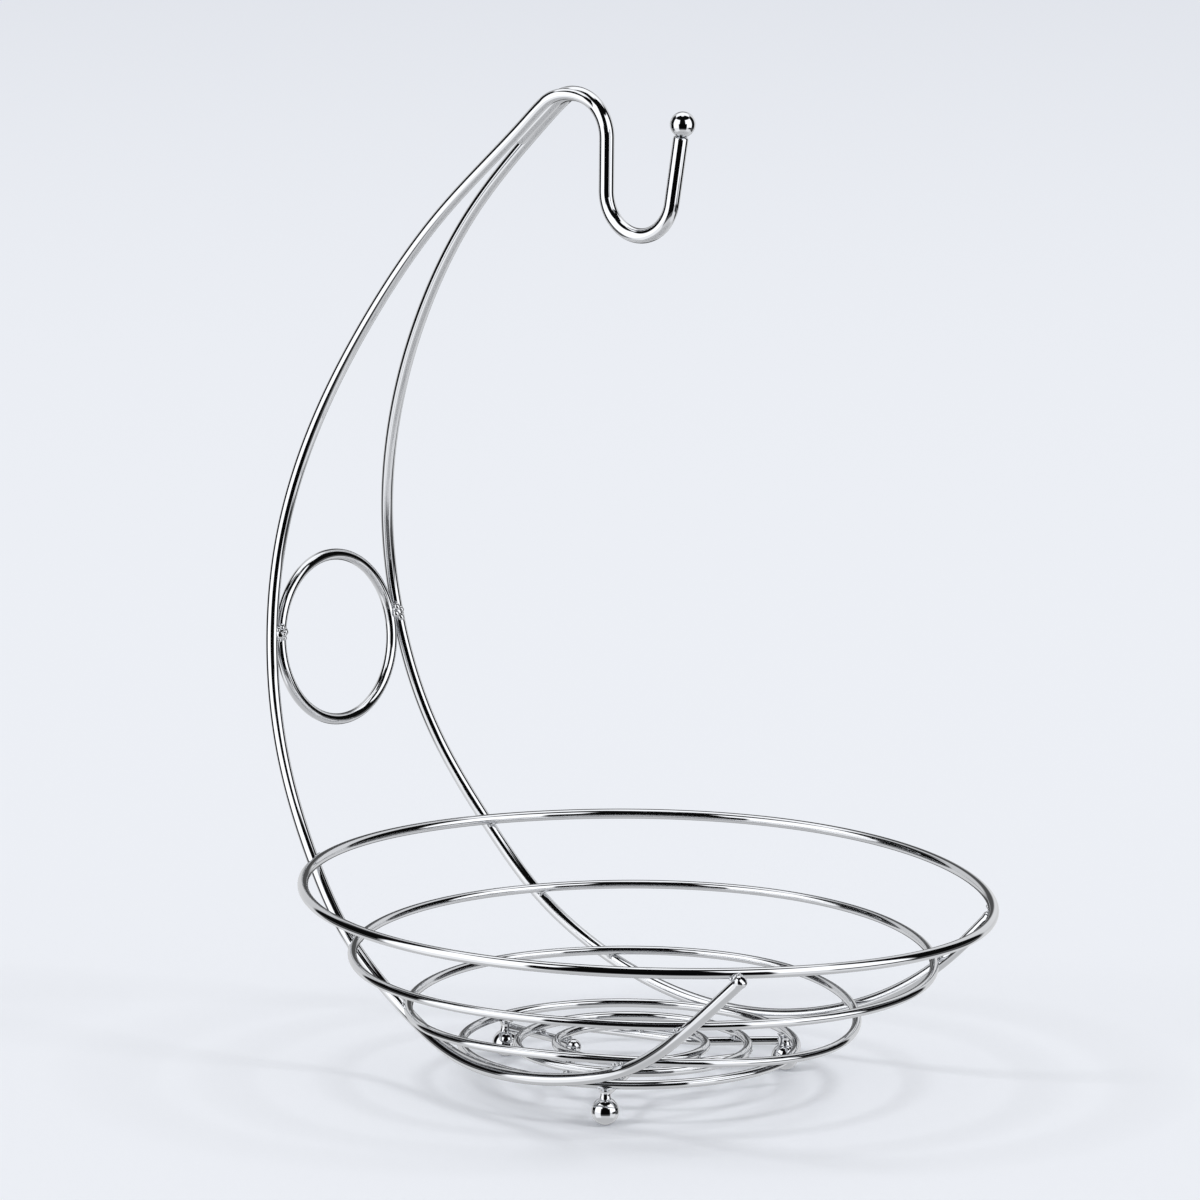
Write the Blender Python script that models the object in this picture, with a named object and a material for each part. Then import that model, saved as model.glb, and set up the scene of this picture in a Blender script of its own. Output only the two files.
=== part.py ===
"""Fruit basket with a banana hanger: a welded wire bowl on three ball feet, with an arch and a hook.

Metres, +Z up, +X from the arch towards the front of the bowl. Someone who stands in front of
the bowl and looks at the arch has +Y at the right hand, and left and right are named that way.
The origin is the middle of the footprint box, at table level.

Every ring, wire, stud and ball is its own object. The two frame wires carry the bowl: they run
outside and below the rings, so their path is worked out from the rings that they touch.
"""

import math

import bmesh
import bpy
import numpy as np

# Wire gauges, as diameters.
FRAME_WIRE = 0.0050
HOOK_WIRE = 0.0060
RIM_WIRE = 0.0042
BOWL_WIRE = 0.0036
NECK_WIRE = 0.0046
LEG_WIRE = 0.0034

# Space left between two welded pieces, in place of the weld itself.
WELD_GAP = 0.0003

# Bowl rings: centreline radius, mean height, and how far the centre stands forward of the outer
# base ring. The bowl rings aren't flat: each droops towards the front right. The droop is given as
# (amount, towards which angle) for a wave that goes once, twice and three times round the ring.
# The lower bowl ring lies the same way outside the outer base ring whatever that ring's size.
RIM_RADIUS = 0.1380
RIM_HEIGHT = 0.0800
RIM_FORWARD = 0.0092
RIM_DROOP = ((0.0038, 10.0), (0.0009, 28.5), (0.0007, 25.5))
UPPER_RADIUS = 0.1166
UPPER_HEIGHT = 0.0539
UPPER_FORWARD = 0.0070
UPPER_DROOP = ((0.0022, -22.5), (0.0011, 24.0), (0.0005, 11.0))
LOWER_OUTSIDE = 0.0228
LOWER_HEIGHT = 0.0310
LOWER_FORWARD = 0.0018
LOWER_DROOP = ((0.0023, -5.0), (0.0019, 22.5), (0.0009, 8.5))
BASE_HEIGHT = 0.0160
OUTER_BASE_RADIUS = 0.0674
LOWER_RADIUS = OUTER_BASE_RADIUS + LOWER_OUTSIDE
MIDDLE_BASE_RADIUS = 0.0465
MIDDLE_BASE_FORWARD = 0.0020
INNER_BASE_RADIUS = 0.0302
INNER_BASE_FORWARD = 0.0012

# Where a frame wire touches each ring, from its tip backwards: the angle round the ring from the
# front, and how far below the ring's own level the wire lies as seen along the ring. The two wires
# were bent by hand and differ a little.
RIM_FRONT_TOUCH_DEG = {"left": (36.8, 23.0), "right": (41.5, 89.0)}
UPPER_FRONT_TOUCH_DEG = {"left": (43.8, 26.0), "right": (43.0, 29.5)}
LOWER_FRONT_TOUCH_DEG = {"left": (54.0, 58.5), "right": (55.4, 57.0)}
OUTER_BASE_TOUCH_DEG = {"left": (98.9, 0.0), "right": (95.3, 0.0)}
LOWER_BACK_TOUCH_DEG = {"left": (146.0, 25.0), "right": (136.0, 28.0)}
UPPER_BACK_TOUCH_DEG = {"left": (152.0, 44.0), "right": (150.4, 44.0)}
RIM_BACK_TOUCH_DEG = {"left": (157.7, 45.0), "right": (157.1, 45.0)}

# Neck ring, sprung between the two frame wires behind the bowl.
NECK_RADIUS = 0.0342
NECK_TOUCH_HEIGHT = 0.1688
NECK_TOUCH_BACK = 0.1589
NECK_SPLAY_DEG = 8.6

# The arch behind and above the bowl: the places that the frame wires pass, left and right alike.
ARCH_FOOT_BACK = 0.1456
ARCH_FOOT_SPREAD = 0.0465
ARCH_FOOT_HEIGHT = 0.1200
ARCH_LOW_BACK = 0.1592
ARCH_LOW_SPREAD = 0.0325
ARCH_LOW_HEIGHT = 0.2100
ARCH_MIDDLE_BACK = 0.1481
ARCH_MIDDLE_SPREAD = 0.0248
ARCH_MIDDLE_HEIGHT = 0.2550
ARCH_UPPER_BACK = 0.1252
ARCH_UPPER_SPREAD = 0.0165
ARCH_UPPER_HEIGHT = 0.3015
ARCH_CLOSE_BACK = 0.0941
ARCH_CLOSE_SPREAD = 0.0100
ARCH_CLOSE_HEIGHT = 0.3440

# Hook: a rising tail, the top bend, a straight drop, the banana bend and a leaning end with a ball.
HOOK_BEND_RADIUS = 0.0167
HOOK_TOP_BACK = 0.0327
HOOK_TOP_HEIGHT = 0.3797
HOOK_RISE_DEG = 42.0
HOOK_TAIL = 0.0240
HOOK_DROP = 0.0205
HOOK_LEAN_DEG = 9.0
HOOK_END = 0.0263
HOOK_BALL_RADIUS = 0.0050
FRAME_BESIDE_TAIL_SHARE = 0.5
FRAME_END_DEG = {"left": 86.0, "right": 93.0}

# Feet: balls under the outer base ring, a little inside its centreline, one behind and two in front.
FOOT_BALL_RADIUS = 0.0055
FOOT_FLAT = 0.0002
FOOT_INSIDE = 0.0008
FOOT_CIRCLE_FORWARD = 0.0018
FOOT_ANGLES_DEG = {"back": 180.0, "front_right": 60.0, "front_left": 300.0}
STUD_TOP_RADIUS = 0.0024
STUD_LOW_RADIUS = 0.0014
STUD_WAIST_SHARE = 0.45

# Leg wires: from each stud inwards below the base rings to an elbow near the innermost ring, then
# straight on to an end below the middle ring. The elbows were bent by hand and differ a little.
LEG_ELBOW_REACH = {"back": 0.0253, "front_right": 0.0329, "front_left": 0.0290}
LEG_ELBOW_TURN_DEG = {"back": 9.0, "front_right": 13.0, "front_left": 11.0}
LEG_END_TURN_DEG = 95.0
LEG_BEND_LENGTH = 0.0075
LEG_BEND_STEPS = 5

# How finely round pieces are drawn.
RING_SEGMENTS = {
    "rim_ring": 72,
    "bowl_ring_upper": 64,
    "bowl_ring_lower": 56,
    "base_ring_outer": 48,
    "base_ring_middle": 40,
    "base_ring_inner": 32,
    "neck_ring": 44,
}
THICK_SIDES = 10
THIN_SIDES = 8
FRAME_POINTS = 92
LEG_POINTS = 26
BEND_STEPS = 18
FRAME_END_STEPS = 4
BALL_SEGMENTS = 20
BALL_RINGS = 10

COLLECTION = "fruit_basket_with_banana_hanger"

# Which way +Y lies from the middle plane on each side.
SIDES = {"left": -1, "right": 1}


def clear_scene():
    for obj in list(bpy.data.objects):
        bpy.data.objects.remove(obj, do_unlink=True)
    for group in list(bpy.data.collections):
        bpy.data.collections.remove(group)


def chrome(name, tint, roughness):
    material = bpy.data.materials.new(name)
    material.use_nodes = True
    shader = material.node_tree.nodes["Principled BSDF"]
    shader.inputs["Base Color"].default_value = (*tint, 1.0)
    shader.inputs["Metallic"].default_value = 1.0
    shader.inputs["Roughness"].default_value = roughness
    material.diffuse_color = (*tint, 1.0)
    return material


def add_mesh(name, mesh_data, material):
    """Link a finished bmesh to the scene as one smooth object."""
    bmesh.ops.recalc_face_normals(mesh_data, faces=mesh_data.faces)
    mesh = bpy.data.meshes.new(name)
    mesh_data.to_mesh(mesh)
    mesh_data.free()
    for face in mesh.polygons:
        face.use_smooth = True
    mesh.materials.append(material)
    obj = bpy.data.objects.new(name, mesh)
    collection.objects.link(obj)
    return obj


def tube(name, points, radius, sides, material, closed=False):
    """Sweep a round section along the points; an open tube gets flat ends."""
    points = np.asarray(points, float)
    count = len(points)
    if closed:
        tangents = np.roll(points, -1, axis=0) - np.roll(points, 1, axis=0)
    else:
        tangents = np.gradient(points, axis=0)
    tangents /= np.linalg.norm(tangents, axis=1)[:, None]
    side = np.cross(tangents[0], (0.0, 1.0, 0.0) if abs(tangents[0][1]) < 0.9 else (0.0, 0.0, 1.0))
    rings = []
    mesh_data = bmesh.new()
    for point, tangent in zip(points, tangents):
        side = side - tangent * side.dot(tangent)
        side /= np.linalg.norm(side)
        other = np.cross(tangent, side)
        ring = []
        for step in range(sides):
            turn = 2 * math.pi * step / sides
            ring.append(mesh_data.verts.new(point + radius * (math.cos(turn) * side + math.sin(turn) * other)))
        rings.append(ring)
    for index in range(count if closed else count - 1):
        first, second = rings[index], rings[(index + 1) % count]
        for step in range(sides):
            after = (step + 1) % sides
            mesh_data.faces.new((first[step], first[after], second[after], second[step]))
    if not closed:
        mesh_data.faces.new(rings[0])
        mesh_data.faces.new(rings[-1])
    return add_mesh(name, mesh_data, material)


def turned(name, outline, place, segments, material):
    """Turn an outline of (radius, height) pairs, with both ends on the axis, about a vertical axis."""
    mesh_data = bmesh.new()
    low = mesh_data.verts.new((place[0], place[1], place[2] + outline[0][1]))
    top = mesh_data.verts.new((place[0], place[1], place[2] + outline[-1][1]))
    rows = []
    for radius, height in outline[1:-1]:
        row = []
        for step in range(segments):
            turn = 2 * math.pi * step / segments
            across = place[0] + radius * math.cos(turn)
            along = place[1] + radius * math.sin(turn)
            row.append(mesh_data.verts.new((across, along, place[2] + height)))
        rows.append(row)
    for step in range(segments):
        after = (step + 1) % segments
        mesh_data.faces.new((low, rows[0][after], rows[0][step]))
        mesh_data.faces.new((top, rows[-1][step], rows[-1][after]))
        for lower, upper in zip(rows, rows[1:]):
            mesh_data.faces.new((lower[step], lower[after], upper[after], upper[step]))
    return add_mesh(name, mesh_data, material)


def smooth_path(stations, count):
    """A natural cubic spline through the stations, as equally spaced points."""
    stations = np.asarray(stations, float)
    spans = np.linalg.norm(np.diff(stations, axis=0), axis=1)
    last = len(stations) - 1
    system = np.eye(last + 1)
    right = np.zeros((last + 1, 3))
    for i in range(1, last):
        system[i, i - 1 : i + 2] = spans[i - 1], 2 * (spans[i - 1] + spans[i]), spans[i]
        right[i] = 6 * ((stations[i + 1] - stations[i]) / spans[i] - (stations[i] - stations[i - 1]) / spans[i - 1])
    bends = np.linalg.solve(system, right)
    fine = []
    for i in range(last):
        for share in np.linspace(0, 1, 24, endpoint=i == last - 1):
            here, there = share * spans[i], (1 - share) * spans[i]
            fine.append(
                (bends[i] * there**3 + bends[i + 1] * here**3) / (6 * spans[i])
                + (stations[i] / spans[i] - bends[i] * spans[i] / 6) * there
                + (stations[i + 1] / spans[i] - bends[i + 1] * spans[i] / 6) * here
            )
    fine = np.array(fine)
    run = np.concatenate([[0.0], np.cumsum(np.linalg.norm(np.diff(fine, axis=0), axis=1))])
    wanted = np.linspace(0, run[-1], count)
    return np.stack([np.interp(wanted, run, fine[:, axis]) for axis in range(3)], axis=1)


def droop_at(droop, around):
    """How far a ring lies above its mean height at an angle round it: negative where it droops."""
    above = 0.0
    for times, (amount, towards_deg) in enumerate(droop, start=1):
        above = above - amount * np.cos(times * (around - math.radians(towards_deg)))
    return above


def ring_points(radius, height, forward, droop, segments):
    turns = np.arange(segments) * 2 * math.pi / segments
    level = height + droop_at(droop, turns) + np.zeros(segments)
    return np.stack([forward + radius * np.cos(turns), radius * np.sin(turns), level], axis=1)


def touch(radius, height, forward, droop, ring_wire, touch_deg, side):
    """The frame wire's centre where it touches a ring from outside and below."""
    reach = (ring_wire + FRAME_WIRE) / 2 + WELD_GAP
    around = SIDES[side] * math.radians(touch_deg[side][0])
    below = math.radians(touch_deg[side][1])
    out = radius + reach * math.cos(below)
    level = height + droop_at(droop, around)
    return (forward + out * math.cos(around), out * math.sin(around), level - reach * math.sin(below))


# Hook centreline, in the middle plane of the object.
hook_top = np.array([-HOOK_TOP_BACK, HOOK_TOP_HEIGHT])
rise = math.radians(HOOK_RISE_DEG)
lean = math.radians(HOOK_LEAN_DEG)
bend_start = hook_top + HOOK_BEND_RADIUS * np.array([-math.sin(rise), math.cos(rise)])
tail_start = bend_start - HOOK_TAIL * np.array([math.cos(rise), math.sin(rise)])
banana_middle = hook_top + np.array([2 * HOOK_BEND_RADIUS, -HOOK_DROP])
hook_line = [tail_start]
for turn in np.linspace(math.pi / 2 + rise, 0, BEND_STEPS):
    hook_line.append(hook_top + HOOK_BEND_RADIUS * np.array([math.cos(turn), math.sin(turn)]))
for turn in np.linspace(math.pi, 2 * math.pi - lean, BEND_STEPS):
    hook_line.append(banana_middle + HOOK_BEND_RADIUS * np.array([math.cos(turn), math.sin(turn)]))
leaning = np.array([math.sin(lean), math.cos(lean)])
hook_line.append(hook_line[-1] + HOOK_END * leaning)
hook_ball_middle = hook_line[-1] + (HOOK_BALL_RADIUS + WELD_GAP) * leaning

# Stations of a frame wire, from its tip at the rim to its end beside the hook.
beside_hook = (HOOK_WIRE + FRAME_WIRE) / 2 + WELD_GAP
neck_reach = NECK_RADIUS + (NECK_WIRE + FRAME_WIRE) / 2 + WELD_GAP
neck_splay = math.radians(NECK_SPLAY_DEG)


def frame_stations(side):
    rim = (RIM_RADIUS, RIM_HEIGHT, RIM_FORWARD, RIM_DROOP, RIM_WIRE)
    upper = (UPPER_RADIUS, UPPER_HEIGHT, UPPER_FORWARD, UPPER_DROOP, BOWL_WIRE)
    lower = (LOWER_RADIUS, LOWER_HEIGHT, LOWER_FORWARD, LOWER_DROOP, BOWL_WIRE)
    base = (OUTER_BASE_RADIUS, BASE_HEIGHT, 0.0, (), BOWL_WIRE)
    out = SIDES[side]
    stations = [
        touch(*rim, RIM_FRONT_TOUCH_DEG, side),
        touch(*upper, UPPER_FRONT_TOUCH_DEG, side),
        touch(*lower, LOWER_FRONT_TOUCH_DEG, side),
        touch(*base, OUTER_BASE_TOUCH_DEG, side),
        touch(*lower, LOWER_BACK_TOUCH_DEG, side),
        touch(*upper, UPPER_BACK_TOUCH_DEG, side),
        touch(*rim, RIM_BACK_TOUCH_DEG, side),
        (-ARCH_FOOT_BACK, out * ARCH_FOOT_SPREAD, ARCH_FOOT_HEIGHT),
        (-NECK_TOUCH_BACK, out * neck_reach * math.cos(neck_splay), NECK_TOUCH_HEIGHT),
        (-ARCH_LOW_BACK, out * ARCH_LOW_SPREAD, ARCH_LOW_HEIGHT),
        (-ARCH_MIDDLE_BACK, out * ARCH_MIDDLE_SPREAD, ARCH_MIDDLE_HEIGHT),
        (-ARCH_UPPER_BACK, out * ARCH_UPPER_SPREAD, ARCH_UPPER_HEIGHT),
        (-ARCH_CLOSE_BACK, out * ARCH_CLOSE_SPREAD, ARCH_CLOSE_HEIGHT),
    ]
    beside = bend_start + FRAME_BESIDE_TAIL_SHARE * (tail_start - bend_start)
    stations.append((beside[0], out * beside_hook, beside[1]))
    for turn in np.linspace(math.pi / 2 + rise, math.radians(FRAME_END_DEG[side]), FRAME_END_STEPS):
        place = hook_top + HOOK_BEND_RADIUS * np.array([math.cos(turn), math.sin(turn)])
        stations.append((place[0], out * beside_hook, place[1]))
    return stations


frame_right = smooth_path(frame_stations("right"), FRAME_POINTS)
frame_left = smooth_path(frame_stations("left"), FRAME_POINTS)

# The neck ring lies in the plane of the two frame wires where it touches them.
nearest = int(np.argmin(np.abs(frame_right[: FRAME_POINTS * 2 // 3, 2] - NECK_TOUCH_HEIGHT)
                        + (frame_right[: FRAME_POINTS * 2 // 3, 0] > 0) * RIM_RADIUS))
along = frame_right[nearest + 1] - frame_right[nearest - 1]
upward = np.array([along[0], 0.0, along[2]])
upward /= np.linalg.norm(upward)
splay = math.atan2(-along[1], math.hypot(along[0], along[2]))
neck_drop = (frame_right[nearest][1] - neck_reach / math.cos(splay)) / math.tan(splay)
neck_middle = frame_right[nearest] * (1, 0, 1) + neck_drop * upward
turns = np.arange(RING_SEGMENTS["neck_ring"]) * 2 * math.pi / RING_SEGMENTS["neck_ring"]
neck_line = neck_middle + NECK_RADIUS * (
    np.cos(turns)[:, None] * np.array([0.0, 1.0, 0.0]) + np.sin(turns)[:, None] * upward
)

# The box runs from the back of the frame wires to the front of the rim; the origin is its middle.
box_back = frame_right[:, 0].min() - FRAME_WIRE / 2
box_front = RIM_FORWARD + RIM_RADIUS + RIM_WIRE / 2
shift = np.array([-(box_back + box_front) / 2, 0.0, 0.0])

clear_scene()
collection = bpy.data.collections.new(COLLECTION)
bpy.context.scene.collection.children.link(collection)
scene_units = bpy.context.scene.unit_settings
scene_units.system = "METRIC"
scene_units.scale_length = 1.0

# Rings of the bowl and of the base: radius, height, forward, droop, wire.
RINGS = {
    "rim_ring": (RIM_RADIUS, RIM_HEIGHT, RIM_FORWARD, RIM_DROOP, RIM_WIRE),
    "bowl_ring_upper": (UPPER_RADIUS, UPPER_HEIGHT, UPPER_FORWARD, UPPER_DROOP, BOWL_WIRE),
    "bowl_ring_lower": (LOWER_RADIUS, LOWER_HEIGHT, LOWER_FORWARD, LOWER_DROOP, BOWL_WIRE),
    "base_ring_outer": (OUTER_BASE_RADIUS, BASE_HEIGHT, 0.0, (), BOWL_WIRE),
    "base_ring_middle": (MIDDLE_BASE_RADIUS, BASE_HEIGHT, MIDDLE_BASE_FORWARD, (), BOWL_WIRE),
    "base_ring_inner": (INNER_BASE_RADIUS, BASE_HEIGHT, INNER_BASE_FORWARD, (), BOWL_WIRE),
}
for name, (radius, height, forward, droop, wire) in RINGS.items():
    line = ring_points(radius, height, forward, droop, RING_SEGMENTS[name]) + shift
    sides = THICK_SIDES if name == "rim_ring" else THIN_SIDES
    tube(name, line, wire / 2, sides, chrome(name + "_chrome", (0.80, 0.81, 0.83), 0.06), closed=True)

# Frame wires, neck ring and hook.
frame_chrome = (0.82, 0.83, 0.85)
frame_radius = FRAME_WIRE / 2
tube("frame_wire_right", frame_right + shift, frame_radius, THICK_SIDES, chrome("frame_right", frame_chrome, 0.05))
tube("frame_wire_left", frame_left + shift, frame_radius, THICK_SIDES, chrome("frame_left", frame_chrome, 0.05))
neck_chrome = chrome("neck_chrome", (0.79, 0.80, 0.82), 0.07)
tube("neck_ring", neck_line + shift, NECK_WIRE / 2, THIN_SIDES, neck_chrome, closed=True)
hook_points = [(place[0], 0.0, place[1]) for place in hook_line]
hook_chrome = chrome("hook_chrome", (0.83, 0.84, 0.86), 0.05)
tube("hook_wire", np.array(hook_points) + shift, HOOK_WIRE / 2, THICK_SIDES, hook_chrome)

# A ball as (radius, height) pairs from its lowest to its highest point.
def ball_outline(radius, flat):
    low = math.asin((flat - radius) / radius)
    outline = [(0.0, flat - radius)]
    for turn in np.linspace(low, math.pi / 2, BALL_RINGS + 1)[:-1]:
        outline.append((radius * math.cos(turn), radius * math.sin(turn)))
    outline.append((0.0, radius))
    return outline


hook_ball_place = np.array([hook_ball_middle[0], 0.0, hook_ball_middle[1]]) + shift
ball_chrome = chrome("hook_ball_chrome", (0.84, 0.85, 0.87), 0.04)
turned("hook_ball", ball_outline(HOOK_BALL_RADIUS, FOOT_FLAT), hook_ball_place, BALL_SEGMENTS, ball_chrome)

# Feet, studs and leg wires. The ball stands on its small flat, so its middle is a little lower than its radius.
ball_middle_height = FOOT_BALL_RADIUS - FOOT_FLAT
stud_low = ball_middle_height + FOOT_BALL_RADIUS + WELD_GAP
stud_top = BASE_HEIGHT - BOWL_WIRE / 2 - WELD_GAP
stud_height = stud_top - stud_low
leg_height = BASE_HEIGHT - (BOWL_WIRE + LEG_WIRE) / 2 - WELD_GAP
foot_circle = OUTER_BASE_RADIUS - FOOT_INSIDE
leg_outer = foot_circle - STUD_TOP_RADIUS - WELD_GAP
for side_name, angle_deg in FOOT_ANGLES_DEG.items():
    angle = math.radians(angle_deg)
    outward = np.array([math.cos(angle), math.sin(angle)])
    place = foot_circle * outward + (FOOT_CIRCLE_FORWARD, 0.0)
    ball_place = np.array([place[0], place[1], ball_middle_height]) + shift
    ball_chrome = chrome("foot_ball_chrome_" + side_name, (0.84, 0.85, 0.87), 0.04)
    turned("foot_ball_" + side_name, ball_outline(FOOT_BALL_RADIUS, FOOT_FLAT), ball_place, BALL_SEGMENTS, ball_chrome)
    stud_outline = [
        (0.0, 0.0),
        (STUD_LOW_RADIUS, 0.0),
        (STUD_LOW_RADIUS, stud_height * STUD_WAIST_SHARE),
        (STUD_TOP_RADIUS, stud_height),
        (0.0, stud_height),
    ]
    stud_place = np.array([place[0], place[1], stud_low]) + shift
    stud_chrome = chrome("foot_stud_chrome_" + side_name, (0.78, 0.79, 0.81), 0.10)
    turned("foot_stud_" + side_name, stud_outline, stud_place, THIN_SIDES * 2, stud_chrome)
    leg_start = leg_outer * outward + (FOOT_CIRCLE_FORWARD, 0.0)
    elbow_turn = angle + math.radians(LEG_ELBOW_TURN_DEG[side_name])
    elbow = LEG_ELBOW_REACH[side_name] * np.array([math.cos(elbow_turn), math.sin(elbow_turn)])
    end_turn = angle + math.radians(LEG_END_TURN_DEG)
    leg_end = MIDDLE_BASE_RADIUS * np.array([math.cos(end_turn), math.sin(end_turn)]) + (MIDDLE_BASE_FORWARD, 0.0)
    inward = (elbow - leg_start) / np.linalg.norm(elbow - leg_start)
    onward = (leg_end - elbow) / np.linalg.norm(leg_end - elbow)
    leg = [leg_start, (leg_start + elbow) / 2]
    for share in np.linspace(0, 1, LEG_BEND_STEPS):
        before = elbow - LEG_BEND_LENGTH * (1 - share) * inward
        after = elbow + LEG_BEND_LENGTH * share * onward
        leg.append(before + share * (after - before))
    leg += [(elbow + leg_end) / 2, leg_end]
    leg = [(across, along, leg_height) for across, along in leg]
    leg_line = smooth_path(leg, LEG_POINTS) + shift
    leg_chrome = chrome("leg_chrome_" + side_name, (0.79, 0.80, 0.82), 0.08)
    tube("leg_wire_" + side_name, leg_line, LEG_WIRE / 2, THIN_SIDES, leg_chrome)
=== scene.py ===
"""Looks of the fruit basket with a banana hanger: every wire, weld, stud and ball as a fine chrome mesh.

Metres, +Z up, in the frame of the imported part. The lines of the wires are worked out from the same
named sizes as the solids, so each fine piece lies on the node that it replaces.
"""

import math

import bpy
import numpy as np
from mathutils import Matrix, Vector


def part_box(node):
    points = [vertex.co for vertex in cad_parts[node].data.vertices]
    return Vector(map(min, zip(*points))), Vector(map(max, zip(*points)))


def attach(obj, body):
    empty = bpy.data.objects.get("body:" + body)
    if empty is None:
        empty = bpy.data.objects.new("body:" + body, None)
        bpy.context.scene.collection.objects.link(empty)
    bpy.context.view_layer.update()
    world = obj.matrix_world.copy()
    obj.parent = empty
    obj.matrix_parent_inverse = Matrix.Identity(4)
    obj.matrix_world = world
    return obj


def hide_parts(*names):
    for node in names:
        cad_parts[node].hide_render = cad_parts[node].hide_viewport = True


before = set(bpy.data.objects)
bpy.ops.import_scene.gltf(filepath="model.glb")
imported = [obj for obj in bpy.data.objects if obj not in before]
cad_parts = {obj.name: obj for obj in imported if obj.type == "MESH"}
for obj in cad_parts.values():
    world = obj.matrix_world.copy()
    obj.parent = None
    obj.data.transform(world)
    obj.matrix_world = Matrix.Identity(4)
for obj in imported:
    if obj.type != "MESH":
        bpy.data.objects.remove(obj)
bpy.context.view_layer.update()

# Wire gauges, as diameters.
FRAME_WIRE = 0.0050
HOOK_WIRE = 0.0060
RIM_WIRE = 0.0042
BOWL_WIRE = 0.0036
NECK_WIRE = 0.0046
LEG_WIRE = 0.0034

# Space between two welded pieces in the solids. The welds here fill it.
WELD_GAP = 0.0003

# Bowl and base rings: centreline radius, height, how far forward, and droop as
# (amount, towards which angle) for a wave that goes once, twice and three times round.
RIM_RADIUS = 0.1380
RIM_HEIGHT = 0.0800
RIM_FORWARD = 0.0092
RIM_DROOP = ((0.0038, 10.0), (0.0009, 28.5), (0.0007, 25.5))
UPPER_RADIUS = 0.1166
UPPER_HEIGHT = 0.0539
UPPER_FORWARD = 0.0070
UPPER_DROOP = ((0.0022, -22.5), (0.0011, 24.0), (0.0005, 11.0))
LOWER_OUTSIDE = 0.0228
LOWER_HEIGHT = 0.0310
LOWER_FORWARD = 0.0018
LOWER_DROOP = ((0.0023, -5.0), (0.0019, 22.5), (0.0009, 8.5))
BASE_HEIGHT = 0.0160
OUTER_BASE_RADIUS = 0.0674
LOWER_RADIUS = OUTER_BASE_RADIUS + LOWER_OUTSIDE
MIDDLE_BASE_RADIUS = 0.0465
MIDDLE_BASE_FORWARD = 0.0020
INNER_BASE_RADIUS = 0.0302
INNER_BASE_FORWARD = 0.0012

# Where a frame wire touches each ring: degrees round the ring, and degrees below its level.
RIM_FRONT_TOUCH_DEG = {"left": (36.8, 23.0), "right": (41.5, 89.0)}
UPPER_FRONT_TOUCH_DEG = {"left": (43.8, 26.0), "right": (43.0, 29.5)}
LOWER_FRONT_TOUCH_DEG = {"left": (54.0, 58.5), "right": (55.4, 57.0)}
OUTER_BASE_TOUCH_DEG = {"left": (98.9, 0.0), "right": (95.3, 0.0)}
LOWER_BACK_TOUCH_DEG = {"left": (146.0, 25.0), "right": (136.0, 28.0)}
UPPER_BACK_TOUCH_DEG = {"left": (152.0, 44.0), "right": (150.4, 44.0)}
RIM_BACK_TOUCH_DEG = {"left": (157.7, 45.0), "right": (157.1, 45.0)}

# Neck ring between the two frame wires.
NECK_RADIUS = 0.0342
NECK_TOUCH_HEIGHT = 0.1688
NECK_TOUCH_BACK = 0.1589
NECK_SPLAY_DEG = 8.6

# The arch: (back, spread, height) of the places that the frame wires pass.
ARCH_FOOT = (0.1456, 0.0465, 0.1200)
ARCH_LOW = (0.1592, 0.0325, 0.2100)
ARCH_MIDDLE = (0.1481, 0.0248, 0.2550)
ARCH_UPPER = (0.1252, 0.0165, 0.3015)
ARCH_CLOSE = (0.0941, 0.0100, 0.3440)

# Hook.
HOOK_BEND_RADIUS = 0.0167
HOOK_TOP_BACK = 0.0327
HOOK_TOP_HEIGHT = 0.3797
HOOK_RISE_DEG = 42.0
HOOK_TAIL = 0.0240
HOOK_DROP = 0.0205
HOOK_LEAN_DEG = 9.0
HOOK_END = 0.0263
HOOK_BALL_RADIUS = 0.0050
HOOK_BALL_FLAT = 0.0001
FRAME_BESIDE_TAIL_SHARE = 0.5
FRAME_END_DEG = {"left": 86.0, "right": 93.0}
FRAME_END_STEPS = 4

# Feet.
FOOT_BALL_RADIUS = 0.0055
FOOT_FLAT = 0.0002
FOOT_INSIDE = 0.0008
FOOT_CIRCLE_FORWARD = 0.0018
FOOT_ANGLES_DEG = {"back": 180.0, "front_right": 60.0, "front_left": 300.0}
STUD_TOP_RADIUS = 0.0024

# A stud as the photo shows it: waisted, and wider where it meets the ring and the ball.
STUD_WAIST_RADIUS = 0.0020
STUD_WAIST_SHARE = 0.45
STUD_FLARE_UP = 0.65
STUD_FLARE_DOWN = 0.25
STUD_SINK = 3 * WELD_GAP

# Leg wires.
LEG_ELBOW_REACH = {"back": 0.0253, "front_right": 0.0329, "front_left": 0.0290}
LEG_ELBOW_TURN_DEG = {"back": 9.0, "front_right": 13.0, "front_left": 11.0}
LEG_END_TURN_DEG = 95.0
LEG_BEND_LENGTH = 0.0075
LEG_BEND_STEPS = 5

# How finely the pieces are drawn: steps along a line in metres, and counts for the rest.
WIRE_SIDES = 28
RING_STEP = 0.0022
WIRE_STEP = 0.0016
HOOK_STEP = 0.0008
LEG_STEP = 0.0010
SPLINE_SPAN_STEPS = 60
HOOK_CREST_STEPS = 60
HOOK_BOTTOM_STEPS = 70
NECK_STEPS = 120
MERGE_STEPS = 50
BALL_SEGMENTS = 64
BALL_ROWS = 40
STUD_SEGMENTS = 40
STUD_ROWS = 25

SIDES = {"left": -1, "right": 1}


def unit(vector):
    return vector / np.linalg.norm(vector)


def distances_along(points):
    return np.concatenate([[0.0], np.cumsum(np.linalg.norm(np.diff(points, axis=0), axis=1))])


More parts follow.
